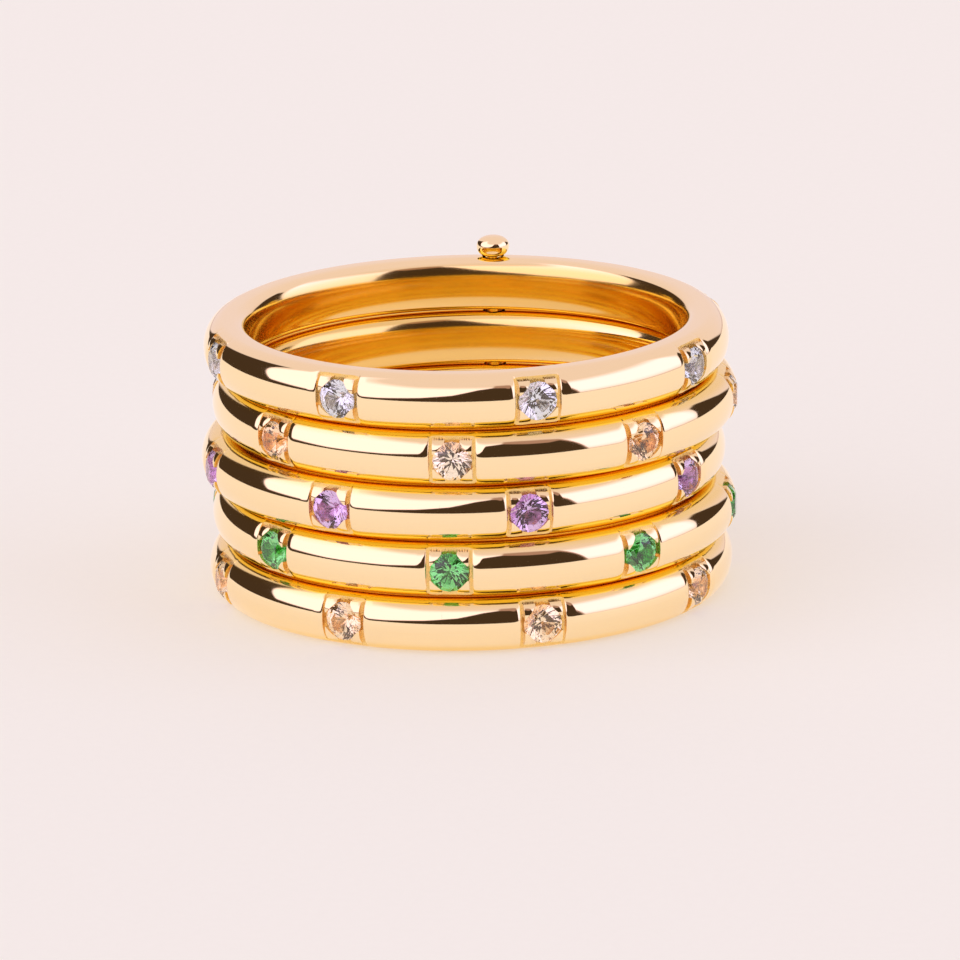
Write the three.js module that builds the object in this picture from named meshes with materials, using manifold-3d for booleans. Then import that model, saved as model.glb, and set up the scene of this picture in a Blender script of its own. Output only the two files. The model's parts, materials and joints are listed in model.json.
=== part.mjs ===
// A finger ring made of slim round bands stacked on one pivot pin. Every band is set with small
// round brilliants, each in a square pocket cut across the band and held by four claws. The pin
// runs down through the back wall of all the bands, so that each one can swing out like a leaf.
// Millimetres, +Z up. The ring lies flat: origin at the middle of its underside, front at -Y,
// pivot pin at +Y.
import * as THREE from 'three';
import { mergeVertices } from 'three/addons/utils/BufferGeometryUtils.js';
import Module from 'manifold-3d';

const wasm = await Module();
wasm.setup();

// Bands
const outerDiameter = 21.0;
const outerRound = 0.85; // radial depth of the rounded outer side
const landWidth = 0.2; // flat ring on top and underside, which the next band or the table meets
const innerRound = 0.75; // radial depth of the comfort-fit inner side
const innerFullness = 3.0; // 2 is a plain ellipse, more is flatter with tighter corners
const bandHeight = 2.2;
const bandGap = 0.05; // running gap between two bands, and under the pin's head

// Pivot pin
const pinDiameter = 0.8;
const pinClearance = 0.05; // radial, between the pin's corners and the bore's flats
const headDiameter = 1.34;
const headHeight = 0.8;
const headFullness = 2.3; // 2 is an ellipse, more is squarer, like a barrel
const headFlatShare = 0.8; // how far down the lower half of the head is kept before its flat
const footDiameter = 1.1; // riveted foot, sunk into the bottom band
const footDepth = 0.3;
const footRecess = 0.05; // the foot stays this far above the table

// Stones: round brilliants, with the usual proportions as shares of the diameter
const stoneDiameter = 1.55;
const tableShare = 0.56;
const crownShare = 0.15;
const girdleShare = 0.03;
const pavilionShare = 0.47; // cut deep, to keep its colour
const starShare = 0.5; // how far the star facets reach from the table's edge to the girdle
const lowerHalfShare = 0.77; // how far the lower facets reach from the girdle to the culet
const tableProud = 0.02; // the table stands this far above the band's outermost line
const stonesPerRound = 8;
const stoneTurn = 41; // degrees from each place to the next: set by hand, no two lie alike

// Settings
const grooveWidth = 0.11; // between the claws and the pocket's side wall
const sideRoom = 0.145; // between the stone and the pocket's side wall
const floorBelowGirdle = 0.2; // the pocket's floor lies this far under the girdle
const clawReach = 0.14; // how far a claw lies over the stone
const stoneClearance = 0.03;

// The bands from the top down. swivel turns the band round the pin as it lies at rest, in
// degrees, and brings its front to +X where it is positive. phase is the first stone's place from
// the front, as a share of the step between two stones. gems are used in turn round the band.
const bands = [
  { swivel: -0.3, phase: 0.5, gems: ['ice_blue_sapphire'] },
  { swivel: 1.5, phase: 0, gems: ['champagne_sapphire', 'peach_sapphire'] },
  { swivel: -1.5, phase: 0.5, gems: ['amethyst'] },
  { swivel: 0.9, phase: 0, gems: ['tsavorite'] },
  { swivel: -0.2, phase: 0.5, gems: ['blush_sapphire'] },
];
const finishes = {
  yellow_gold: { color: 0xe0a545, roughness: 0.12, metalness: 1 },
  ice_blue_sapphire: { color: 0xa9b6d6, roughness: 0.03, metalness: 0 },
  champagne_sapphire: { color: 0xdcc3b4, roughness: 0.03, metalness: 0 },
  peach_sapphire: { color: 0xe9a36c, roughness: 0.03, metalness: 0 },
  amethyst: { color: 0x9a6bb5, roughness: 0.03, metalness: 0 },
  tsavorite: { color: 0x2fa866, roughness: 0.03, metalness: 0 },
  blush_sapphire: { color: 0xe6b79c, roughness: 0.03, metalness: 0 },
};

// Fineness of the facets
const ringSegments = 32;
const roundSegments = 16; // pin and bore
const stoneFacets = 8; // main facets round the crown and the pavilion
const outerSteps = 6; // round the outer side of the section
const innerSteps = 4; // round the inner side
const headSteps = 5;
const mergeDistance = 1e-4;

// Worked out from the sizes above
const outerRadius = outerDiameter / 2;
const innerRadius = outerRadius - outerRound - landWidth - innerRound;
const landRadius = outerRadius - outerRound - landWidth / 2; // middle of the flat ring
const halfHeight = bandHeight / 2;
const bandPitch = bandHeight + bandGap;
const stackTop = bands.length * bandPitch - bandGap;
const cornerFactor = 1 / Math.cos(Math.PI / roundSegments); // a bore's corner over its flat
const stoneRadius = stoneDiameter / 2;
const crownHeight = crownShare * stoneDiameter;
const girdleHeight = girdleShare * stoneDiameter;
const pavilionDepth = pavilionShare * stoneDiameter;
const girdleTop = tableProud - crownHeight; // heights over the band's outermost line
const girdleBottom = girdleTop - girdleHeight;
const pocketFloor = girdleBottom - floorBelowGirdle;
const pocketHalfWidth = stoneRadius + sideRoom;
const clawOuter = pocketHalfWidth - grooveWidth;
const clawInner = (stoneRadius - clawReach) / Math.SQRT2;
const cutMargin = 0.5; // how far a cutter runs past the metal it cuts

// A closed three.js geometry as a solid for the boolean cuts.
function solidOf(geometry) {
  const bare = geometry.clone();
  bare.deleteAttribute('normal');
  bare.deleteAttribute('uv');
  const merged = mergeVertices(bare, mergeDistance);
  const triangles = [];
  for (let i = 0; i < merged.index.count; i += 3) {
    const [a, b, c] = [merged.index.getX(i), merged.index.getX(i + 1), merged.index.getX(i + 2)];
    if (a !== b && b !== c && c !== a) triangles.push(a, b, c);
  }
  return new wasm.Manifold(
    new wasm.Mesh({
      numProp: 3,
      vertProperties: new Float32Array(merged.attributes.position.array),
      triVerts: new Uint32Array(triangles),
    }),
  );
}

function geometryOf(solid) {
  const mesh = solid.getMesh();
  const geometry = new THREE.BufferGeometry();
  geometry.setAttribute('position', new THREE.BufferAttribute(mesh.vertProperties, 3));
  geometry.setIndex(new THREE.BufferAttribute(mesh.triVerts, 1));
  geometry.computeVertexNormals();
  return geometry;
}

// A lathed body about +Z from [radius, height] pairs listed upwards along its outside. The radii
// are those of its corners, and its first corner is turned by startAngle from the front.
function turned(profile, segments, startAngle = 0) {
  const points = profile.map(([radius, height]) => new THREE.Vector2(radius, height));
  return new THREE.LatheGeometry(points, segments, startAngle).rotateX(Math.PI / 2);
}

function boxBetween(low, high) {
  const size = new THREE.Vector3().subVectors(high, low);
  const middle = new THREE.Vector3().addVectors(low, high).multiplyScalar(0.5);
  return new THREE.BoxGeometry(size.x, size.y, size.z).translate(middle.x, middle.y, middle.z);
}

// The section's outer or inner side, from one edge of the land round to the other. sign is 1
// for the outer side, listed upwards, and -1 for the inner side, listed downwards.
function sectionArc(depth, fullness, steps, sign, landEdge) {
  const points = [];
  for (let i = 0; i <= steps; i += 1) {
    const angle = (i / steps - 0.5) * Math.PI;
    const reach = Math.abs(Math.cos(angle)) ** (2 / fullness);
    const rise = Math.sign(Math.sin(angle)) * Math.abs(Math.sin(angle)) ** (2 / fullness);
    points.push([landEdge + sign * depth * reach, sign * halfHeight * rise]);
  }
  return points;
}

// The plain band, before its settings are cut: round outside, flatter comfort-fit inside, and a
// narrow flat land on top and underside.
function bandBlank() {
  const outer = sectionArc(outerRound, 2, outerSteps, 1, outerRadius - outerRound);
  const inner = sectionArc(innerRound, innerFullness, innerSteps, -1, innerRadius + innerRound);
  const profile = [...outer, ...inner];
  return solidOf(turned([...profile, profile[0]], ringSegments));
}

// Rings of the brilliant's corners, from the table down: radius, height and corner count. The
// crown's and the pavilion's main facets are planes through the girdle, which set the heights of
// the star and lower-half corners between them.
function brilliantRings() {
  const halfStep = Math.PI / stoneFacets;
  const tableRadius = tableShare * stoneRadius;
  const tableFlat = tableRadius * Math.cos(halfStep);
  const starRadius = tableFlat + starShare * (stoneRadius - tableFlat);
  const starFall = (stoneRadius - starRadius * Math.cos(halfStep)) / (stoneRadius - tableRadius);
  const lowRadius = (1 - lowerHalfShare) * stoneRadius;
  const lowFall = 1 - (lowRadius * Math.cos(halfStep)) / stoneRadius;
  return {
    table: { radius: tableRadius, height: tableProud },
    star: { radius: starRadius, height: girdleTop + starFall * crownHeight },
    girdleTop: { radius: stoneRadius, height: girdleTop },
    girdleBottom: { radius: stoneRadius, height: girdleBottom },
    low: { radius: lowRadius, height: girdleBottom - lowFall * pavilionDepth },
    culet: { radius: 0, height: girdleBottom - pavilionDepth },
  };
}

// A round brilliant about +Z, with its table up: table, stars, kites, upper girdle facets,
// girdle, lower girdle facets and pavilion mains.
function brilliant() {
  const rings = brilliantRings();
  const positions = [];
  const corner = (ring, place) => {
    const angle = (place * Math.PI) / stoneFacets;
    positions.push(ring.radius * Math.cos(angle), ring.radius * Math.sin(angle), ring.height);
    return positions.length / 3 - 1;
  };
  const girdlePlaces = [...Array(2 * stoneFacets).keys()];
  const mainPlaces = girdlePlaces.filter((place) => place % 2 === 0);
  const table = mainPlaces.map((place) => corner(rings.table, place));
  const star = mainPlaces.map((place) => corner(rings.star, place + 1));
  const top = girdlePlaces.map((place) => corner(rings.girdleTop, place));
  const bottom = girdlePlaces.map((place) => corner(rings.girdleBottom, place));
  const low = mainPlaces.map((place) => corner(rings.low, place + 1));
  const culet = corner(rings.culet, 0);
  const index = [];
  for (let k = 0; k < stoneFacets; k += 1) {
    const next = (k + 1) % stoneFacets;
    const before = (k + stoneFacets - 1) % stoneFacets;
    const [here, half, after] = [2 * k, 2 * k + 1, 2 * next];
    if (k > 0 && next > 0) index.push(table[0], table[k], table[next]);
    index.push(table[k], star[k], table[next]);
    index.push(table[k], top[here], star[k], table[k], star[before], top[here]);
    index.push(star[k], top[here], top[half], star[k], top[half], top[after]);
    index.push(low[k], bottom[half], bottom[here], low[k], bottom[after], bottom[half]);
    index.push(culet, low[k], bottom[here], culet, bottom[here], low[before]);
  }
  for (const k of girdlePlaces) {
    const after = (k + 1) % girdlePlaces.length;
    index.push(top[k], bottom[k], bottom[after], top[k], bottom[after], top[after]);
  }
  const geometry = new THREE.BufferGeometry();
  geometry.setAttribute('position', new THREE.Float32BufferAttribute(positions, 3));
  geometry.setIndex(index);
  return geometry;
}

// Brings a body built about +Z to the front of a band, with +Z pointing outwards. turn is how far
// it is first turned about +Z.
function atFront(geometry, turn = 0) {
  return geometry.rotateZ(turn).rotateX(Math.PI / 2).translate(0, -outerRadius, 0);
}

// The room that a stone needs, about +Z: its main facets' planes moved out by the clearance.
function stoneSeat() {
  const rings = brilliantRings();
  const halfStep = Math.PI / stoneFacets;
  const cornerRadius = (ring) => (ring.radius + stoneClearance) / Math.cos(halfStep);
  const above = rings.table.height + cutMargin;
  const profile = [
    [0, rings.culet.height - stoneClearance],
    [cornerRadius(rings.girdleBottom), rings.girdleBottom.height],
    [cornerRadius(rings.girdleTop), rings.girdleTop.height],
    [cornerRadius(rings.table), rings.table.height],
    [cornerRadius(rings.table), above],
    [0, above],
  ];
  return turned(profile, stoneFacets, halfStep);
}

// One of the four claws about +Z, from its tip over the stone to the band's edge and outwards to
// the groove beside it. side and end are the signs of its corner.
function claw(side, end) {
  const across = [side * clawInner, side * clawOuter].sort((a, b) => a - b);
  const along = [end * clawInner, end * (halfHeight + 2 * cutMargin)].sort((a, b) => a - b);
  const low = new THREE.Vector3(across[0], along[0], pocketFloor - cutMargin);
  return boxBetween(low, new THREE.Vector3(across[1], along[1], 2 * cutMargin));
}

// The square pocket that one setting takes out of the band at its front, less its four claws.
function pocketCutter() {
  const end = halfHeight + cutMargin;
  const low = new THREE.Vector3(-pocketHalfWidth, -end, pocketFloor);
  const pocket = solidOf(atFront(boxBetween(low, new THREE.Vector3(pocketHalfWidth, end, cutMargin))));
  const claws = [claw(-1, -1), claw(-1, 1), claw(1, -1), claw(1, 1)];
  return claws.reduce((left, body) => left.subtract(solidOf(atFront(body))), pocket);
}

// The places of a band's stones, less the one that the pin takes: each one's angle from the
// front, its own turn about its axis and the kind of its gem.
function stonePlaces(band) {
  const step = (2 * Math.PI) / stonesPerRound;
  const room = pocketHalfWidth + pinDiameter;
  return [...Array(stonesPerRound).keys()]
    .map((place) => ({
      angle: (place + band.phase) * step,
      turn: THREE.MathUtils.degToRad((place + band.phase) * stoneTurn),
      gem: band.gems[place % band.gems.length],
    }))
    .filter((place) => Math.abs(place.angle - Math.PI) * landRadius > room);
}

// The bore for the pin, with a countersink for its foot where wanted, about +Z at the pin's axis.
function boreCutter(countersunk) {
  const bore = (pinDiameter / 2 + pinClearance) * cornerFactor;
  const sink = (footDiameter / 2 + pinClearance) * cornerFactor;
  const lower = countersunk
    ? [
        [sink, -cutMargin],
        [sink, footRecess],
        [bore, footRecess + footDepth],
      ]
    : [[bore, -cutMargin]];
  const top = bandHeight + cutMargin;
  const profile = [[0, -cutMargin], ...lower, [bore, top], [0, top]];
  return solidOf(turned(profile, roundSegments).translate(0, landRadius, -halfHeight));
}

function bandSolid(band, countersunk) {
  const pocket = pocketCutter();
  let solid = bandBlank().subtract(boreCutter(countersunk));
  for (const { angle, turn } of stonePlaces(band)) {
    const cutter = pocket.add(solidOf(atFront(stoneSeat(), turn)));
    solid = solid.subtract(cutter.rotate([0, 0, THREE.MathUtils.radToDeg(angle)]));
  }
  return solid;
}

// The pin: sunk foot, plain shank through every band, and a squashed ball for a head.
function pinGeometry() {
  const headBottom = stackTop + bandGap;
  const startAngle = -Math.asin(headFlatShare ** (headFullness / 2));
  const headHalf = headHeight / (1 + headFlatShare); // height of the head's upper half
  const head = [];
  for (let i = 0; i < headSteps; i += 1) {
    const angle = startAngle + ((Math.PI / 2 - startAngle) * i) / headSteps;
    const reach = Math.cos(angle) ** (2 / headFullness);
    const rise = Math.sign(angle) * Math.abs(Math.sin(angle)) ** (2 / headFullness);
    head.push([(reach * headDiameter) / 2, headBottom + headHalf * (headFlatShare + rise)]);
  }
  const shank = pinDiameter / 2;
  const profile = [
    [0, footRecess],
    [footDiameter / 2, footRecess],
    [shank, footRecess + footDepth],
    [shank, headBottom],
    ...head,
    [0, headBottom + headHeight],
  ];
  return geometryOf(solidOf(turned(profile, roundSegments)));
}

function pieceOf(name, geometry, finish) {
  const piece = new THREE.Mesh(geometry, new THREE.MeshStandardMaterial(finishes[finish]));
  piece.name = name;
  return piece;
}

// One band with its stones, turned about the pin as it lies at rest.
function bandGroup(band, order) {
  const swing = new THREE.Group();
  swing.position.set(0, landRadius, (bands.length - order) * bandPitch + halfHeight);
  swing.rotation.z = THREE.MathUtils.degToRad(band.swivel);
  const body = new THREE.Group();
  body.position.set(0, -landRadius, 0);
  const isBottom = order === bands.length;
  body.add(pieceOf(`band_${order}`, geometryOf(bandSolid(band, isBottom)), 'yellow_gold'));
  stonePlaces(band).forEach(({ angle, turn, gem }, i) => {
    const stone = pieceOf(`stone_${order}_${i + 1}`, atFront(brilliant(), turn), gem);
    stone.rotation.z = angle;
    body.add(stone);
  });
  swing.add(body);
  return swing;
}

const ring = new THREE.Group();
bands.forEach((band, i) => ring.add(bandGroup(band, i + 1)));
const pin = pieceOf('pivot_pin', pinGeometry(), 'yellow_gold');
pin.position.set(0, landRadius, 0);
ring.add(pin);

export default ring;
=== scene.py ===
# %% [markdown]
# # A ring of five gold bands on one pin
# The ring is five slim bands of polished 18 ct gold, stacked and joined at the back by one pin, so
# that they swing out like the leaves of a fan. Small cut stones sit in square pockets round each
# band, held by four claws each. The solids of the frame give every place and size. This script
# gives the bands their smooth polished form, cuts the pockets as a setter does, and makes the
# finishes: mirror-polished gold, graver-cut gold and six kinds of cut stone.

# %% Load the frame
import json
import math

import bpy
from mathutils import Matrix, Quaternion, Vector


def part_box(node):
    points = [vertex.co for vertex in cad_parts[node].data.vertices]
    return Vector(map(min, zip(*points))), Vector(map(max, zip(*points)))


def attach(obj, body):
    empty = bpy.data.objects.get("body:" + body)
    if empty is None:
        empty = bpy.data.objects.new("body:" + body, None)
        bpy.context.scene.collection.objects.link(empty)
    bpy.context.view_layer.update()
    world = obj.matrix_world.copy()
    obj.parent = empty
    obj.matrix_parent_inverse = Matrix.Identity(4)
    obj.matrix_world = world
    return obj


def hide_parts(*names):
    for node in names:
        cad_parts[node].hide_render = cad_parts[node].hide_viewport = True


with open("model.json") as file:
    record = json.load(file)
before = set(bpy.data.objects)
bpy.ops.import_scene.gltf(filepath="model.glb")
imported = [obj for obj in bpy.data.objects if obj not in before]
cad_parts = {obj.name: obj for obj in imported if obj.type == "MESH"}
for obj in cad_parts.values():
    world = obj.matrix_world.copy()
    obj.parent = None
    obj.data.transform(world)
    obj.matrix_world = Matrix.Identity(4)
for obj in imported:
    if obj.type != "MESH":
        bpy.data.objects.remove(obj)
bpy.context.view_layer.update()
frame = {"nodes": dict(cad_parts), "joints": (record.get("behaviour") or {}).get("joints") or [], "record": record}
home = {n: body for body, nodes in frame["record"]["behaviour"]["bodies"].items() for n in nodes}
slot_of = {part["node"]: part["material_slot"] for part in frame["record"]["subparts"]}
stones = sorted(name for name in frame["nodes"] if name.startswith("stone_"))
bands = sorted(name for name in frame["nodes"] if name.startswith("band_"))
print(f"{len(bands)} bands and {len(stones)} stones in the frame")

# %% [markdown]
# ## Sizes
# The pieces are modelled in millimetres on the bench, because a ring's sizes read best so, and
# each finished piece is shrunk to metres once. A band's section is half an ellipse outside, a
# narrow flat land on top and underside, and a fuller, flatter curve inside, which jewellers call
# comfort fit. Heights and turns are read from the frame.

# %% Sizes
MM = 0.001
OUTER_RADIUS = 10.5
OUTER_ROUND = 0.85  # radial depth of the rounded outer side
LAND = 0.2  # flat on top and underside
INNER_ROUND = 0.75
INNER_FULLNESS = 3.0  # 2 is a plain ellipse, more is flatter
LAND_RADIUS = OUTER_RADIUS - OUTER_ROUND - LAND / 2
STATIONS = 8  # places for stones round a band
STEP = math.tau / STATIONS
BEHIND = math.pi  # the back of the ring, as a turn from its front

pin_place = Vector(frame["joints"][0]["pos_m"]) / MM
band_floor = {name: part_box(name)[0].z / MM for name in bands}
band_height = (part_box(bands[0])[1].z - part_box(bands[0])[0].z) / MM
half_height = band_height / 2
band_pitch = band_floor[bands[0]] - band_floor[bands[1]]
print(f"a band is {band_height:.2f} mm high and the pin stands {pin_place.y:.2f} mm back")

# %% [markdown]
# ## The bench
# These few helpers do what the hand does between two operators: pick one object, pick some of its
# corners by their place, carve one body with another, and put a finished piece in its place.


# %% Picking and carving
CREASE = math.radians(35)  # faces that meet at a sharper turn than this keep a crisp edge


def pick(piece):
    """Makes the piece the only selected object, and the active one."""
    bpy.ops.object.select_all(action="DESELECT")
    piece.select_set(True)
    bpy.context.view_layer.objects.active = piece


def edit(piece, wanted, kind="VERT"):
    """Opens the piece in edit mode with the corners, edges or faces that wanted() picks."""
    pick(piece)
    bpy.ops.object.mode_set(mode="EDIT")
    bpy.ops.mesh.select_mode(type=kind)
    bpy.ops.mesh.select_all(action="DESELECT")
    bpy.ops.object.mode_set(mode="OBJECT")
    parts = {"VERT": piece.data.vertices, "EDGE": piece.data.edges, "FACE": piece.data.polygons}
    for part in parts[kind]:
        places = [part.co] if kind == "VERT" else [piece.data.vertices[i].co for i in part.vertices]
        part.select = wanted(places)
    bpy.ops.object.mode_set(mode="EDIT")


def close_edit():
    bpy.ops.object.mode_set(mode="OBJECT")
    return bpy.context.object


def everything(places):
    return True


def carve(body, tool):
    """Cuts the tool out of the body. The cut faces take the tool's finish."""
    pick(body)
    cut = body.modifiers.new("carve", "BOOLEAN")
    cut.object, cut.operation = tool, "DIFFERENCE"
    cut.solver, cut.material_mode = "MANIFOLD", "TRANSFER"
    bpy.ops.object.modifier_apply(modifier=cut.name)
    bpy.data.objects.remove(tool)


def copy_of(piece, turn):
    """A copy with its own mesh, turned about the ring's axis."""
    twin = piece.copy()
    twin.data = piece.data.copy()
    bpy.context.collection.objects.link(twin)
    pick(twin)
    twin.rotation_euler.z = turn
    bpy.ops.object.transform_apply(location=False, rotation=True, scale=False)
    return twin


def turned(name, profile, corners, finish):
    """A body turned on the lathe about +Z: a circle, extruded from ring to ring of the profile."""
    (radius, height), *rest = profile
    bpy.ops.mesh.primitive_circle_add(
        vertices=corners, radius=radius, fill_type="NGON", location=(0, 0, height)
    )
    body = bpy.context.object
    body.name = name
    body.data.materials.append(finish)
    bpy.ops.object.transform_apply()
    bpy.ops.object.mode_set(mode="EDIT")
    bpy.ops.mesh.select_mode(type="VERT")
    bpy.ops.mesh.select_all(action="SELECT")
    for next_radius, next_height in rest:
        rise = next_height - height
        bpy.ops.mesh.extrude_region_move(TRANSFORM_OT_translate={"value": (0, 0, rise)})
        share = next_radius / radius
        bpy.ops.transform.resize(value=(share, share, 1))
        radius, height = next_radius, next_height
    bpy.ops.mesh.select_all(action="SELECT")
    bpy.ops.mesh.normals_make_consistent(inside=False)
    return close_edit()


def finished(piece, node):
    """Shrinks the piece to metres, smooths all but its creases and lets it stand for its node."""
    pick(piece)
    piece.scale = (MM, MM, MM)
    bpy.ops.object.transform_apply()
    bpy.ops.object.shade_smooth_by_angle(angle=CREASE)
    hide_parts(node)
    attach(piece, home[node])
    piece.data.calc_loop_triangles()
    print(f"{piece.name}: {len(piece.data.loop_triangles)} triangles, stands for {node}")


# %% [markdown]
# ## Finishes
# Colours are written as the sRGB hex values that a screen shows, and one function turns them to
# linear light. One more function adds a shader node with its settings and links, and three short
# ones build on it: a sum, a soft step and a blend of two colours.


# %% Colours and nodes
def linear(code):
    """An sRGB hex colour as linear red, green, blue and full alpha."""
    shares = [int(code[i : i + 2], 16) / 255 for i in (1, 3, 5)]
    lit = [s / 12.92 if s <= 0.04045 else ((s + 0.055) / 1.055) ** 2.4 for s in shares]
    return (*lit, 1.0)


def node(tree, kind, inputs=None, **settings):
    """Adds a node. An input takes a number, a colour or another node's output."""
    made = tree.nodes.new("ShaderNode" + kind)
    for name, value in settings.items():
        setattr(made, name, value)
    for socket, value in (inputs or {}).items():
        if isinstance(value, bpy.types.NodeSocket):
            tree.links.new(value, made.inputs[socket])
        else:
            made.inputs[socket].default_value = value
    return made


def sum_of(tree, operation, *values):
    """What a Math node makes of the values."""
    return node(tree, "Math", dict(enumerate(values)), operation=operation).outputs[0]


def soft_step(tree, value, start, end):
    """0 up to the start value and 1 from the end value, which may be the lower one."""
    ramp = {"Value": value, "From Min": start, "From Max": end}
    return node(tree, "MapRange", ramp, interpolation_type="SMOOTHSTEP").outputs[0]


def blend(tree, factor, first, second):
    """The first colour where the factor is 0, and the second where it is 1."""
    inputs = {"Factor": factor, "A": first, "B": second}
    return node(tree, "Mix", inputs, data_type="RGBA").outputs["Result"]


def met_first(tree):
    """1 on what the eye meets first, and 0 on what it sees in or through something else."""
    return node(tree, "LightPath").outputs["Is Camera Ray"]


def new_finish(name):
    """An empty material, with its tree and its Principled shader."""
    finish = bpy.data.materials.new(name)
    finish.use_nodes = True
    shader = finish.node_tree.nodes["Principled BSDF"]
    return finish, finish.node_tree, shader


def unrolled(tree):
    """Object coordinates as metres round the ring, metres out from its axis, and height."""
    place = node(tree, "TexCoord").outputs["Object"]
    flat = node(tree, "SeparateXYZ", {0: place}).outputs
    turn = sum_of(tree, "ARCTAN2", flat["X"], flat["Y"])
    round_way = sum_of(tree, "MULTIPLY", turn, OUTER_RADIUS * MM)
    level = node(tree, "VectorMath", {0: place, 1: (1, 1, 0)}, operation="MULTIPLY")
    reach = node(tree, "VectorMath", {0: level.outputs["Vector"]}, operation="LENGTH")
    joined = {0: round_way, 1: reach.outputs["Value"], 2: flat["Z"]}
    return node(tree, "CombineXYZ", joined).outputs["Vector"]


# %% [markdown]
# Polished gold is 18 ct yellow gold, buffed on a wheel. It is a mirror with a warm tint, so nearly
# all that the eye sees is what it reflects. The buffing leaves two things: hairlines that run
# round the band, too fine to see one by one, which only soften the mirror a little, and a slow
# waviness of the surface, which makes the reflected lines swim. The tint holds painted light: gold
# that shows in other gold, as in the joints, is painted a deeper yellow than the gold the eye meets
# first, and the joints and the inside of the ring are painted a deeper gold as painted shade.


# %% Polished gold
HAIRLINE = 0.03  # mm between hairlines, drawn coarser than the real ones so that they show at all
HAIRLINE_RUN = 2.5  # mm that a hairline runs round the band
WAVE, WAVE_HEIGHT = 2.6, 0.004  # mm from one shallow wave to the next, and its height
HAIR_NOISE = (0.3, 0.75)  # values of the noise between and on the hairlines
POLISH = (0.045, 0.06)  # roughness between and on the hairlines
UNREACHED = 0.09  # roughness added where the wheel barely reaches
INSIDE = (LAND_RADIUS - 0.6, LAND_RADIUS - 0.8)  # the radii over which the inside starts
JOINT = (0.6 * half_height, 0.9 * half_height)  # mm off a band's middle, where a joint starts
POLISHED_TINTS = linear("#ffe6b4"), linear("#ffe9bc")
# painted shade: deeper gold tints for the joints and for the inside of the ring
JOINT_PAINTED_TINT, INSIDE_PAINTED_TINT = linear("#fddd8c"), linear("#f8d486")
# painted reflection: the deeper yellow that the gold takes where it is seen in other gold
PAINTED_GOLD_IN_GOLD_TINT = linear("#f5d44e")


def sheltered_and_shaded(tree, way):
    """1 where the wheel barely reaches and shade is painted: inside the ring, and in the joints."""
    place = node(tree, "SeparateXYZ", {0: way}).outputs
    inside = soft_step(tree, place["Y"], *(radius * MM for radius in INSIDE))
    over_joint = sum_of(tree, "FLOORED_MODULO", place["Z"], band_pitch * MM)
    off_middle = sum_of(tree, "SUBTRACT", over_joint, half_height * MM)
    off_middle = sum_of(tree, "ABSOLUTE", off_middle)
    joint = soft_step(tree, off_middle, *(distance * MM for distance in JOINT))
    top_middle = (band_floor[bands[0]] + half_height) * MM
    below_top = sum_of(tree, "LESS_THAN", place["Z"], top_middle)
    return inside, sum_of(tree, "MULTIPLY", joint, below_top)


def polished_gold():
    finish, tree, shader = new_finish("polished 18 ct yellow gold")
    way = unrolled(tree)
    fine = (1 / (HAIRLINE_RUN * MM), 1 / (HAIRLINE * MM), 1 / (HAIRLINE * MM))
    stretched = node(tree, "Mapping", {"Vector": way, "Scale": fine}).outputs[0]
    hairs = node(tree, "TexNoise", {"Vector": stretched, "Scale": 1.0, "Detail": 3.0})
    hairs = hairs.outputs["Fac"]
    inside, joint = sheltered_and_shaded(tree, way)
    softness = {"Value": hairs, "From Min": HAIR_NOISE[0], "From Max": HAIR_NOISE[1]}
    softness |= {"To Min": POLISH[0], "To Max": POLISH[1]}
    rough = node(tree, "MapRange", softness).outputs[0]
    shelter = sum_of(tree, "MAXIMUM", inside, joint)
    rough = sum_of(tree, "MULTIPLY_ADD", shelter, UNREACHED, rough)
    tint = blend(tree, hairs, *POLISHED_TINTS)
    # painted shade: a deeper gold tint in the joints and inside the ring
    tint = blend(tree, joint, tint, JOINT_PAINTED_TINT)
    tint = blend(tree, inside, tint, INSIDE_PAINTED_TINT)
    # painted reflection: gold seen in other gold is a deeper yellow than the gold the eye meets first
    tint = blend(tree, met_first(tree), PAINTED_GOLD_IN_GOLD_TINT, tint)
    waves = node(tree, "TexNoise", {"Vector": way, "Scale": 1 / (WAVE * MM), "Detail": 1.0})
    relief = {"Height": waves.outputs["Fac"], "Strength": 1.0, "Distance": WAVE_HEIGHT * MM}
    wavy = node(tree, "Bump", relief)
    shader.inputs["Metallic"].default_value = 1.0
    tree.links.new(tint, shader.inputs["Base Color"])
    tree.links.new(rough, shader.inputs["Roughness"])
    tree.links.new(wavy.outputs[0], shader.inputs["Normal"])
    return finish


# %% [markdown]
# The pockets are cut with gravers and burrs and can't be reached by the buffing wheel. Their walls
# keep the fine ridges of the tool, and they are painted a deeper orange than the polished skin, as
# painted shade. Where the cut gold is seen in or through something else, as the seat through a
# stone, it is painted paler instead: a painted highlight.


# %% Graver-cut gold
RIDGE = 0.1  # mm between the ridges that the graver leaves
WAVE_SCALE = 0.314  # of a wave texture that repeats once in a unit
GRIT = 0.2  # mm across the uneven patches between them
CUT_DEPTH, RIDGE_SHARE = 0.02, 0.15  # mm that the cuts go in, and the ridges' share beside the grit
CUT_ROUGHNESS = (0.15, 0.4)
# painted shade: both cut tints are a deeper orange than the polished gold; the grit varies between them
GRIT_AND_SHADE_CUT_TINTS = linear("#f4c466"), linear("#fddf98")
# painted highlight: cut gold seen in or through something else, as through a stone, is paler
PAINTED_PALE_SEEN_THROUGH = linear("#fff2dc")


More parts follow.
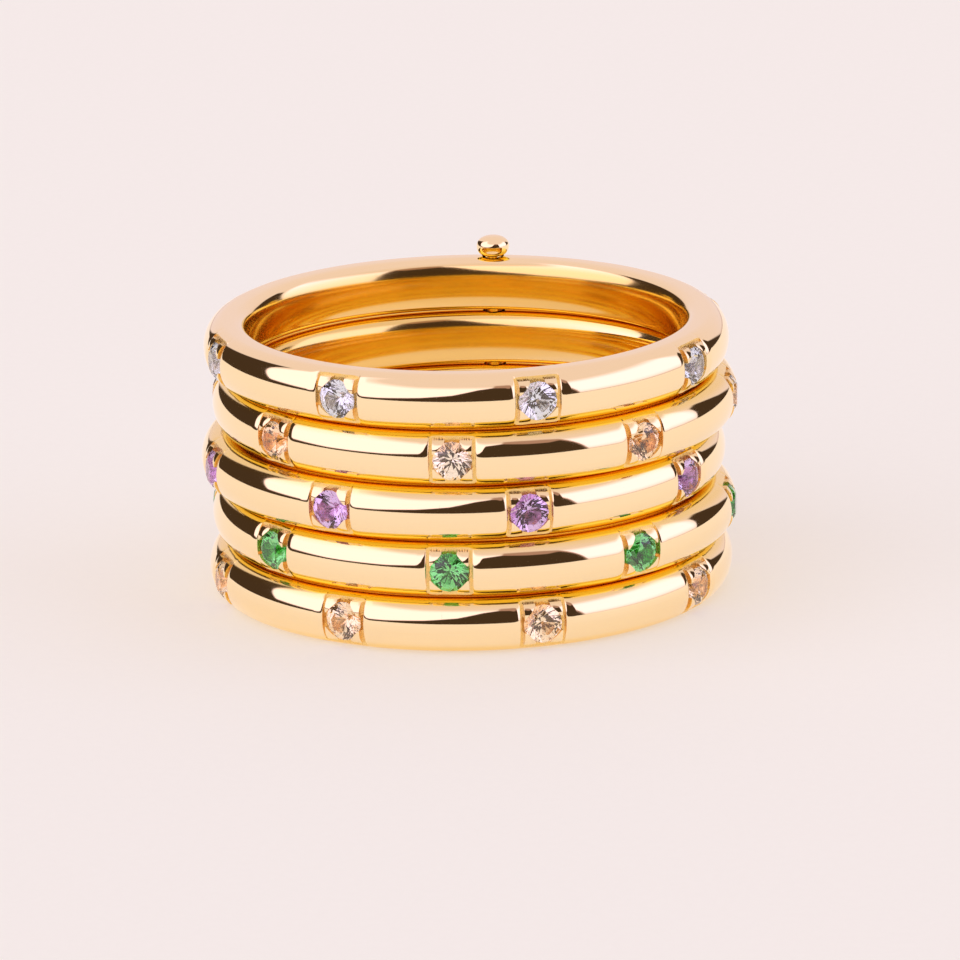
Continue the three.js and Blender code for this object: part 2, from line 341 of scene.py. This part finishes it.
def cut_gold():
    finish, tree, shader = new_finish("graver-cut 18 ct yellow gold")
    way = unrolled(tree)
    ridges = {"Vector": way, "Scale": WAVE_SCALE / (RIDGE * MM)}
    ridges |= {"Distortion": 4.0, "Detail": 2.0}
    ridges = node(tree, "TexWave", ridges).outputs["Fac"]
    grit = node(tree, "TexNoise", {"Vector": way, "Scale": 1 / (GRIT * MM), "Detail": 2.0})
    grit = grit.outputs["Fac"]
    # painted shade: the pocket walls take a deeper orange, varied at random by the grit
    tint = blend(tree, grit, *GRIT_AND_SHADE_CUT_TINTS)
    # painted highlight: paler cut gold wherever it is seen in or through something else
    tint = blend(tree, met_first(tree), PAINTED_PALE_SEEN_THROUGH, tint)
    dull = {"Value": grit, "To Min": CUT_ROUGHNESS[0], "To Max": CUT_ROUGHNESS[1]}
    rough = node(tree, "MapRange", dull)
    height = sum_of(tree, "MULTIPLY_ADD", ridges, RIDGE_SHARE, grit)
    cuts = node(tree, "Bump", {"Height": height, "Strength": 1.0, "Distance": CUT_DEPTH * MM})
    shader.inputs["Metallic"].default_value = 1.0
    tree.links.new(tint, shader.inputs["Base Color"])
    tree.links.new(rough.outputs[0], shader.inputs["Roughness"])
    tree.links.new(cuts.outputs[0], shader.inputs["Normal"])
    return finish


gold = polished_gold()
gold_cut = cut_gold()

# %% [markdown]
# A cut stone is clear and coloured right through. Light enters by the crown, turns round between
# the lower facets and comes back as bright and dark patches, so it needs real refraction and the
# true index of its mineral: 1.76 for sapphire, 1.74 for green garnet and 1.55 for amethyst. Natural
# stones are never one even colour, so a slow cloud of a second tint runs through each kind.

# %% Cut stones
SAPPHIRE, GARNET, QUARTZ = 1.76, 1.74, 1.55
CLOUD = 0.7  # mm across a cloud of colour
GEMS = {
    "ice_blue_sapphire": ("#f4f5f2", "#d2dcea", SAPPHIRE),
    "champagne_sapphire": ("#fff6e0", "#ffeacc", SAPPHIRE),
    "peach_sapphire": ("#ffe6bc", "#ffd8a0", SAPPHIRE),
    "amethyst": ("#ead2f2", "#cca8e4", QUARTZ),
    "tsavorite": ("#9cec90", "#4cc468", GARNET),
    "blush_sapphire": ("#fff0cc", "#ffe0b4", SAPPHIRE),
}


def cut_stone(name, light, deep, index):
    finish, tree, shader = new_finish("faceted " + name.replace("_", " "))
    place = node(tree, "TexCoord").outputs["Object"]
    cloud = node(tree, "TexNoise", {"Vector": place, "Scale": 1 / (CLOUD * MM), "Detail": 2.0})
    tint = blend(tree, cloud.outputs["Fac"], linear(light), linear(deep))
    tree.links.new(tint, shader.inputs["Base Color"])
    shader.inputs["Transmission Weight"].default_value = 1.0
    shader.inputs["Roughness"].default_value = 0.0
    shader.inputs["IOR"].default_value = index
    return finish


cut_stones = {name: cut_stone(name, *recipe) for name, recipe in GEMS.items()}
for name in stones:
    materials = frame["nodes"][name].data.materials
    materials.clear()
    materials.append(cut_stones[slot_of[name]])
print(f"{len(cut_stones)} kinds of stone on {len(stones)} stones")

# %% [markdown]
# ## One eighth of a band
# A band repeats itself eight times, so only one eighth is modelled, in fine steps, and copied. Its
# section starts as a circle whose corners are moved onto the section's curve, and is then spun
# through an eighth of a turn about the ring's axis. Towards a setting the buffing has rolled the
# outside off, and each claw has been pushed over into a low dome.

# %% The section, spun
OUTER_STEPS, INNER_STEPS = 48, 28  # along each side of the section
POCKET_HALF = 0.92
CLAW_OUTER, CLAW_INNER, CLAW_END = 0.77, 0.3, 0.82  # from the stone's middle, across and along
CLAW_SLANT = 1.02  # the side over the stone runs aslant, from axis to axis at this distance
ROLL_WIDTH, ROLL_DEPTH = 0.42, 0.075  # how the polished skin rolls off towards a pocket
ROLL_CURVE = 2.5  # the higher, the later it falls
LIP_WIDTH, LIP_DEPTH = 0.07, 0.05  # the buffed edge of the pocket itself
CLAW_CROWN, CLAW_SPREAD, CLAW_RISE = 0.64, 0.3, 0.05  # each claw's dome: place, reach, height
DOME_FOOT = 1.5  # where a dome runs out, as a share of its reach
SPINS = [  # steps, and the distance from the stone's middle, in mm round the band, where they end
    (12, POCKET_HALF + ROLL_WIDTH),
    (10, POCKET_HALF + LIP_WIDTH),
    (6, POCKET_HALF),
    (3, CLAW_OUTER),
    (9, CLAW_INNER),
    (4, 0),
]


def section_place(corner):
    """Where one corner of the section lies: out from the land's middle, and up."""
    outer = corner <= OUTER_STEPS
    steps = OUTER_STEPS if outer else INNER_STEPS
    along = corner if outer else corner - OUTER_STEPS - 1
    turn = (along / steps - 0.5) * math.pi
    fullness = 2 if outer else INNER_FULLNESS
    reach = abs(math.cos(turn)) ** (2 / fullness)
    rise = math.copysign(abs(math.sin(turn)) ** (2 / fullness), turn)
    depth = OUTER_ROUND if outer else INNER_ROUND
    side = 1 if outer else -1
    return side * (LAND / 2 + depth * reach), side * half_height * rise


def roll(across, up):
    """How far the outside lies under its full curve, by the distances from the stone's middle."""
    off_pocket = across - POCKET_HALF
    if off_pocket > 0:
        near = max(0, 1 - off_pocket / LIP_WIDTH)
        lip = LIP_DEPTH * (1 - math.sqrt(1 - near**2))
        return lip + ROLL_DEPTH * max(0, 1 - off_pocket / ROLL_WIDTH) ** ROLL_CURVE
    off_crown = math.hypot(across - CLAW_CROWN, up - CLAW_CROWN) / CLAW_SPREAD
    return CLAW_RISE * (min(DOME_FOOT, off_crown) ** 2 - 1)


def blank_eighth(set_with_stone):
    """An eighth of a band with closed ends. Beside a setting its outside is rolled off."""
    start = -math.pi / 2 + STEP / 2  # spin turns clockwise as seen from above
    bpy.ops.mesh.primitive_circle_add(
        vertices=OUTER_STEPS + INNER_STEPS + 2,
        location=(LAND_RADIUS * math.cos(start), LAND_RADIUS * math.sin(start), 0),
        rotation=(math.pi / 2, 0, start),
    )
    eighth = bpy.context.object
    for corner in eighth.data.vertices:
        corner.co.x, corner.co.y = section_place(corner.index)
    bpy.ops.object.transform_apply()
    edit(eighth, everything)
    ends = [STEP / 2, *(math.asin(across / OUTER_RADIUS) for _, across in SPINS)]
    runs = [(steps, ends[i] - ends[i + 1]) for i, (steps, _) in enumerate(SPINS)]
    for steps, angle in runs + runs[::-1]:
        bpy.ops.mesh.spin(steps=steps, angle=angle, center=(0, 0, 0), axis=(0, 0, 1))
    bpy.ops.mesh.select_all(action="SELECT")
    bpy.ops.mesh.fill_holes(sides=0)
    bpy.ops.mesh.normals_make_consistent(inside=False)
    close_edit()
    land_edge = LAND_RADIUS + LAND / 2
    for corner in eighth.data.vertices if set_with_stone else ():
        flat = corner.co.to_2d()
        proud = flat.length - land_edge
        if proud > 0:
            across = abs(math.atan2(flat.x, -flat.y)) * OUTER_RADIUS
            lowered = proud / OUTER_ROUND * roll(across, abs(corner.co.z))
            flat *= 1 - lowered / flat.length
            corner.co.x, corner.co.y = flat
    eighth.data.materials.append(gold)
    print(f"one eighth has {len(eighth.data.polygons)} faces, {eighth.dimensions.z:.2f} mm high")
    return eighth


plain, carved = blank_eighth(False), blank_eighth(True)

# %% [markdown]
# ## One setting
# The setter saws a square pocket across the band and leaves four claws standing in its corners,
# then cuts a cone for the stone to sit in. The cuts come in the same order here: the pocket, as a
# grid whose claw squares are left out, and then the seat, just clear of the stone.

# %% Setting sizes
STONE_RADIUS = 0.775
TABLE_RADIUS = 0.434
TABLE_TOP, GIRDLE_TOP, GIRDLE_LOW, CULET = 0.02, -0.2125, -0.259, -0.9875  # over the band's outside
POCKET_FLOOR = -0.459
CLEARANCE = 0.012
MARGIN = 0.5  # how far a tool runs past the metal
GRID = 5  # columns and rows of the pocket's tool: gap, claw, middle, claw, gap
SEAT_CORNERS, SEAT_TIP = 32, 0.02


def pocket_tool():
    """The square pocket less its four claws, which are slanted where they lie over the stone."""
    bpy.ops.mesh.primitive_grid_add(
        x_subdivisions=GRID, y_subdivisions=GRID, size=2, rotation=(math.pi / 2, 0, 0)
    )
    tool = bpy.context.object
    end = half_height + MARGIN
    columns = [-POCKET_HALF, -CLAW_OUTER, -CLAW_INNER, CLAW_INNER, CLAW_OUTER, POCKET_HALF]
    rows = [-end, -CLAW_END, -CLAW_INNER, CLAW_INNER, CLAW_END, end]
    for corner in tool.data.vertices:
        corner.co.x = columns[round((corner.co.x + 1) / 2 * GRID)]
        corner.co.y = rows[round((corner.co.y + 1) / 2 * GRID)]
    tool.location.y = -OUTER_RADIUS - MARGIN
    bpy.ops.object.transform_apply()

    def on_a_claw(places):
        middle = sum(places, Vector()) / len(places)
        beside = CLAW_INNER < abs(middle.x) < CLAW_OUTER
        return beside and CLAW_INNER < abs(middle.z) < CLAW_END

    edit(tool, on_a_claw, "FACE")
    bpy.ops.mesh.delete(type="FACE")
    bpy.ops.mesh.select_all(action="SELECT")
    depth = MARGIN - POCKET_FLOOR
    bpy.ops.mesh.extrude_region_move(TRANSFORM_OT_translate={"value": (0, depth, 0)})
    bpy.ops.mesh.select_all(action="SELECT")
    bpy.ops.mesh.normals_make_consistent(inside=False)
    close_edit()

    def over_the_stone(places):
        inner = all(abs(abs(p.z) - CLAW_INNER) + abs(abs(p.x) - CLAW_INNER) < 1e-4 for p in places)
        return inner and abs(places[0].y - places[1].y) > MARGIN

    edit(tool, over_the_stone, "EDGE")
    bpy.ops.mesh.bevel(offset=CLAW_SLANT - 2 * CLAW_INNER, segments=1)
    close_edit()
    tool.data.materials.append(gold_cut)
    return tool


def seat_tool():
    """The room that the stone needs, with its table up, turned to face forwards."""
    radius, table = STONE_RADIUS + CLEARANCE, TABLE_RADIUS + CLEARANCE
    profile = [
        (SEAT_TIP, CULET - CLEARANCE),
        (radius, GIRDLE_LOW),
        (radius, GIRDLE_TOP),
        (table, TABLE_TOP),
        (table, TABLE_TOP + MARGIN),
    ]
    tool = turned("seat", profile, SEAT_CORNERS, gold_cut)
    tool.rotation_euler.x = math.pi / 2
    tool.location.y = -OUTER_RADIUS
    pick(tool)
    bpy.ops.object.transform_apply()
    return tool


def open_ends(eighth):
    """Takes off the two flat ends, so that copies can be welded edge to edge."""
    edge = math.tan(STEP / 2)

    def at_an_end(places):
        return all(abs(abs(p.x) + p.y * edge) < 1e-3 for p in places)

    edit(eighth, at_an_end, "FACE")
    bpy.ops.mesh.delete(type="FACE")
    return close_edit()


carve(carved, pocket_tool())
carve(carved, seat_tool())
open_ends(carved)
open_ends(plain)
print(f"the set eighth has {len(carved.data.polygons)} faces")

# %% [markdown]
# ## Five bands
# Each band is welded from eighths, turned to where its stones sit in the frame. A band with seven
# stones gets one plain eighth, at the back, where the pin goes through. The bore for the pin is
# cut last, at the back, and then the band is swung about the pin as it lies at rest.

# %% Where each band's stones sit
BORE, BORE_CORNERS = 0.45, 32
FOOT_RADIUS, FOOT_DEPTH, FOOT_RECESS = 0.6, 0.3, 0.05
FOOT_CLEARANCE = 0.03
WELD = 0.0003  # mm between corners that become one


def middle_of(name):
    corners = frame["nodes"][name].data.vertices
    return sum((corner.co for corner in corners), Vector()) / len(corners) / MM


def lie_of(band):
    """How far the band is swung about the pin, and its stones' turns from its own front."""
    number = band.removeprefix("band_")
    middles = [middle_of(name) for name in stones if name.startswith(f"stone_{number}_")]
    mean = sum(middles, Vector()) / len(middles)
    swing = math.atan2(mean.x - pin_place.x, pin_place.y - mean.y)
    centre_x = pin_place.x + LAND_RADIUS * math.sin(swing)
    centre_y = pin_place.y - LAND_RADIUS * math.cos(swing)
    turns = [math.atan2(m.x - centre_x, centre_y - m.y) - swing for m in middles]
    return swing, [round(turn / STEP * 2) * STEP / 2 for turn in turns]


def bore_tool(countersunk):
    low, high = -half_height - MARGIN, half_height + MARGIN
    wide = FOOT_RADIUS + FOOT_CLEARANCE
    sink = -half_height + FOOT_RECESS
    foot = [(wide, low), (wide, sink), (BORE, sink + FOOT_DEPTH)] if countersunk else [(BORE, low)]
    tool = turned("bore", [*foot, (BORE, high)], BORE_CORNERS, gold)
    tool.location.y = LAND_RADIUS
    pick(tool)
    bpy.ops.object.transform_apply()
    return tool


def smooth_band(band):
    swing, turns = lie_of(band)
    eighths = [copy_of(carved, turn) for turn in turns]
    if len(turns) < STATIONS:
        eighths.append(copy_of(plain, BEHIND))
    pick(eighths[0])
    for eighth in eighths:
        eighth.select_set(True)
    bpy.ops.object.join()
    body = bpy.context.object
    body.name = "polished_" + band
    edit(body, everything)
    bpy.ops.mesh.remove_doubles(threshold=WELD)
    bpy.ops.mesh.normals_make_consistent(inside=False)
    close_edit()
    carve(body, bore_tool(band == bands[-1]))
    pick(body)
    body.location = (0, -pin_place.y, 0)
    bpy.ops.object.transform_apply()
    body.rotation_euler.z = swing
    body.location = (0, pin_place.y, band_floor[band] + half_height)
    bpy.ops.object.transform_apply()
    print(f"{body.name} is swung {math.degrees(swing):.2f} degrees and holds {len(turns)} stones")
    return body


# %% [markdown]
# The five bands differ only in how they lie and where their stones sit, so one loop makes them.

# %% Weld the bands
for band in bands:
    finished(smooth_band(band), band)
for used in (carved, plain):
    bpy.data.objects.remove(used)

# %% [markdown]
# ## The pin
# The pin is a plain rod with a squashed ball for a head above the top band and a riveted foot sunk
# in the bottom one. It is turned on the lathe in one piece, ring by ring.

# %% Turn the pin
SHANK, PIN_CORNERS = 0.4, 48
HEAD_GAP = 0.05  # between the top band and the head
HEAD_FULLNESS, HEAD_STEPS = 2.3, 24
HEAD_FLAT = 0.8  # how far down its half height the squashed ball is cut flat
FOOT_FACE, FOOT_EDGE = 0.5, (0.55, 0.02)  # the foot's flat face, and its edge: radius and height


def pin():
    low, high = (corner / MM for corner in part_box("pivot_pin"))
    head_radius = (high.x - low.x) / 2
    stack_top = max(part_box(band)[1].z for band in bands) / MM
    head_bottom = stack_top + HEAD_GAP
    head_half = (high.z - head_bottom) / (1 + HEAD_FLAT)
    start = -math.asin(HEAD_FLAT ** (HEAD_FULLNESS / 2))
    profile = [(FOOT_FACE, low.z), (FOOT_EDGE[0], low.z + FOOT_EDGE[1])]
    profile += [(SHANK, low.z + FOOT_DEPTH), (SHANK, head_bottom)]
    for i in range(HEAD_STEPS):
        turn = start + (math.pi / 2 - start) * i / HEAD_STEPS
        reach = math.cos(turn) ** (2 / HEAD_FULLNESS)
        rise = math.copysign(abs(math.sin(turn)) ** (2 / HEAD_FULLNESS), turn)
        profile.append((reach * head_radius, head_bottom + head_half * (HEAD_FLAT + rise)))
    body = turned("polished_pin", profile, PIN_CORNERS, gold)
    body.location.y = pin_place.y
    pick(body)
    bpy.ops.object.transform_apply()
    return body


finished(pin(), "pivot_pin")

# %% [markdown]
# ## The studio
# Gold shows the room more than itself, so the light is built from what the bands reflect: a big
# soft light in front and to the left, a white card on the right that reaches down to the table, a
# pale pink backdrop behind and above, and the dark of the room between them, low over the horizon.
# The world shader draws these by direction. Its skyline is the height of the dark over each
# bearing. Above it lie a brown shade to the right of the front, the white light up to an upper
# edge that slopes down from the left, and the pink backdrop. The table is pale pink paper.

# %% The room, drawn by direction
SKYLINE = [  # bearing from the front in degrees, positive to the right, and the dark's height there
    (-156, 0),
    (-148, 10.5),
    (-122, 37.5),
    (-110, 48.5),
    (-100, 30.5),
    (-88, 9.5),
    (-60, 6),
    (-32, 7.5),
    (-14, 13.5),
    (0, 22.5),
    (12, 40.5),
    (20, 46),
    (32, 40),
    (42, 38),
    (49, 42),
    (52, 28),
    (55.5, 0),
    (118, 0),
    (123, 26.5),
    (132, 29.5),
    (144, 12.5),
    (158, 0),
]
LIGHT_FROM, LIGHT_TO, CARD_TO = -102, 50, 120  # bearings of the light's and the card's sides
UPPER_EDGE = [(-106, 70), (-80, 66), (-50, 54), (-20, 46), (5, 46), (60, 38), (118, 40)]
BROWN_EDGE = [(10, 0), (22, 52), (32, 52), (44, 49), (51, 44), (56, 0)]
LIGHT_FOOT, CARD_FOOT = -20, 2  # heights where the light and the card end below
SOFT_SIDE, SOFT_FOOT, SOFT_TOP, SOFT_BROWN = 4, 8, 7.0, 3.0  # degrees each edge fades to each side
CLEAR = (-4.0, -0.5)  # degrees over the skyline between which the dark gives way to the lights
LIGHT, CARD = (1.5, 1.25, 1.56, 1), (1.35, 1.25, 1.75, 1)
BACKDROP, DARK = (0.9, 0.76, 0.82, 1), (0.06, 0.036, 0.022, 1)
BROWN = (0.44, 0.27, 0.25, 1)
SEEN_BACKDROP = linear("#f5e7e7")


def band_of(tree, value, low, high, soft):
    """1 where value lies between low and high, falling softly to 0 outside."""
    rising = soft_step(tree, value, low - soft, low + soft)
    falling = soft_step(tree, value, high + soft, high - soft)
    return sum_of(tree, "MULTIPLY", rising, falling)


def height_over(tree, share, height, line):
    """Degrees that a direction lies over a line, which is given as heights over bearings."""
    ramp = node(tree, "ValToRGB", {"Fac": share})
    stops = ramp.color_ramp.elements
    while len(stops) > 1:
        stops.remove(stops[0])
    (first, top), *rest = line
    stops[0].position, stops[0].color = (first + 180) / 360, (top / 90, top / 90, top / 90, 1)
    for bearing, top in rest:
        stops.new((bearing + 180) / 360).color = (top / 90, top / 90, top / 90, 1)
    line_height = sum_of(tree, "MULTIPLY", ramp.outputs["Color"], 90.0)
    return sum_of(tree, "SUBTRACT", height, line_height)


def room_colour(tree, bearing, height):
    """What a reflection meets in each direction, from the backdrop forwards to the dark."""
    share = node(tree, "MapRange", {"Value": bearing, "From Min": -180.0, "From Max": 180.0})
    share = share.outputs[0]
    over_edge = height_over(tree, share, height, UPPER_EDGE)
    under_edge = soft_step(tree, over_edge, SOFT_TOP, -SOFT_TOP)
    colour = BACKDROP
    lights = [(LIGHT, LIGHT_FROM, LIGHT_TO, LIGHT_FOOT), (CARD, LIGHT_TO, CARD_TO, CARD_FOOT)]
    for light, start, end, foot in lights:
        across = band_of(tree, bearing, start, end, SOFT_SIDE)
        upward = soft_step(tree, height, foot - SOFT_FOOT, foot + SOFT_FOOT)
        lit = sum_of(tree, "MULTIPLY", across, upward)
        lit = sum_of(tree, "MULTIPLY", lit, under_edge)
        colour = blend(tree, lit, colour, light)
    over_brown = height_over(tree, share, height, BROWN_EDGE)
    colour = blend(tree, soft_step(tree, over_brown, SOFT_BROWN, -SOFT_BROWN), colour, BROWN)
    clear = soft_step(tree, height_over(tree, share, height, SKYLINE), *CLEAR)
    return blend(tree, clear, DARK, colour)


def studio_world():
    world = bpy.data.worlds.new("studio")
    world.use_nodes = True
    tree = world.node_tree
    way = node(tree, "SeparateXYZ", {0: node(tree, "TexCoord").outputs["Generated"]}).outputs
    to_front = sum_of(tree, "MULTIPLY", way["Y"], -1.0)
    bearing = sum_of(tree, "DEGREES", sum_of(tree, "ARCTAN2", way["X"], to_front))
    height = sum_of(tree, "DEGREES", sum_of(tree, "ARCSINE", way["Z"]))
    seen = blend(tree, met_first(tree), room_colour(tree, bearing, height), SEEN_BACKDROP)
    tree.links.new(seen, tree.nodes["Background"].inputs["Color"])
    bpy.context.scene.world = world
    print(f"the studio's dark reaches {max(top for _, top in SKYLINE):.0f} degrees up")


studio_world()

# %% [markdown]
# The table is a sheet of pale pink paper, matt, with a fine fibre. It glows a little, as paper in
# a bright studio is lit from all round, and more so in what the gold reflects.

# %% The paper table
TABLE_SIDE = 1.6  # metres
FIBRE = 0.4  # mm
PAPER_TINTS = (0.42, 0.52, 0.41, 1), (0.44, 0.54, 0.43, 1)
GLOW, GLOW_SEEN, GLOW_REFLECTED = (0.5, 0.39, 0.41, 1), 1.0, 1.2


def paper():
    finish, tree, shader = new_finish("pale pink paper")
    place = node(tree, "TexCoord").outputs["Object"]
    fibre = node(tree, "TexNoise", {"Vector": place, "Scale": 1 / (FIBRE * MM), "Detail": 3.0})
    tint = blend(tree, fibre.outputs["Fac"], *PAPER_TINTS)
    tree.links.new(tint, shader.inputs["Base Color"])
    shader.inputs["Roughness"].default_value = 0.9
    shader.inputs["Specular IOR Level"].default_value = 0.1
    shader.inputs["Emission Color"].default_value = GLOW
    strength = {"Value": met_first(tree), "To Min": GLOW_REFLECTED, "To Max": GLOW_SEEN}
    strength = node(tree, "MapRange", strength)
    tree.links.new(strength.outputs[0], shader.inputs["Emission Strength"])
    return finish


bpy.ops.mesh.primitive_plane_add(size=TABLE_SIDE)
table = bpy.context.object
table.name = "paper_table"
table.data.materials.append(paper())
print(f"the paper table is {TABLE_SIDE} m wide")

# %% [markdown]
# ## The camera
# The photograph looks down on the ring at 15 degrees, a little from its right, through a long
# lens, and the ring fills the middle of the frame, turned a degree anticlockwise.

# %% Place the camera
AZIMUTH, ELEVATION, ROLL = math.radians(6.7), math.radians(15.35), math.radians(1.21)
DISTANCE = 320  # mm
SCALE = 24.93  # pixels to a millimetre at the ring's middle
FRAME_PIXELS = 960
SENSOR = 36
AIM_RIGHT, AIM_UP, RING_MIDDLE = 0.385, -1.30, 5.6  # mm


def camera():
    back = Vector(
        (
            math.sin(AZIMUTH) * math.cos(ELEVATION),
            -math.cos(AZIMUTH) * math.cos(ELEVATION),
            math.sin(ELEVATION),
        )
    )
    right = Vector((math.cos(AZIMUTH), math.sin(AZIMUTH), 0))
    up = back.cross(right)
    aim = Vector((0, 0, RING_MIDDLE)) + AIM_RIGHT * right + AIM_UP * up
    bpy.ops.object.camera_add(location=(aim + DISTANCE * back) * MM)
    eye = bpy.context.object
    eye.rotation_mode = "QUATERNION"
    eye.rotation_quaternion = back.to_track_quat("Z", "Y")
    eye.rotation_quaternion.rotate(Quaternion(back, -ROLL))
    eye.data.sensor_width = SENSOR
    eye.data.lens = SCALE * DISTANCE * SENSOR / FRAME_PIXELS
    eye.data.clip_start, eye.data.clip_end = 0.01, 10
    bpy.context.scene.camera = eye
    print(f"the lens is {eye.data.lens:.0f} mm")


camera()

# %% [markdown]
# Light that turns round in a stone or runs to and fro between two bands needs many bounces. The
# standard view transform shows colours as they are set here.

# %% Light paths and colour
scene = bpy.context.scene
scene.view_settings.view_transform = "Standard"
scene.cycles.max_bounces = 16
scene.cycles.glossy_bounces = 10
scene.cycles.transmission_bounces = 14
scene.cycles.use_denoising = True
scene.cycles.sample_clamp_indirect = 8.0
scene.cycles.blur_glossy = 0.2
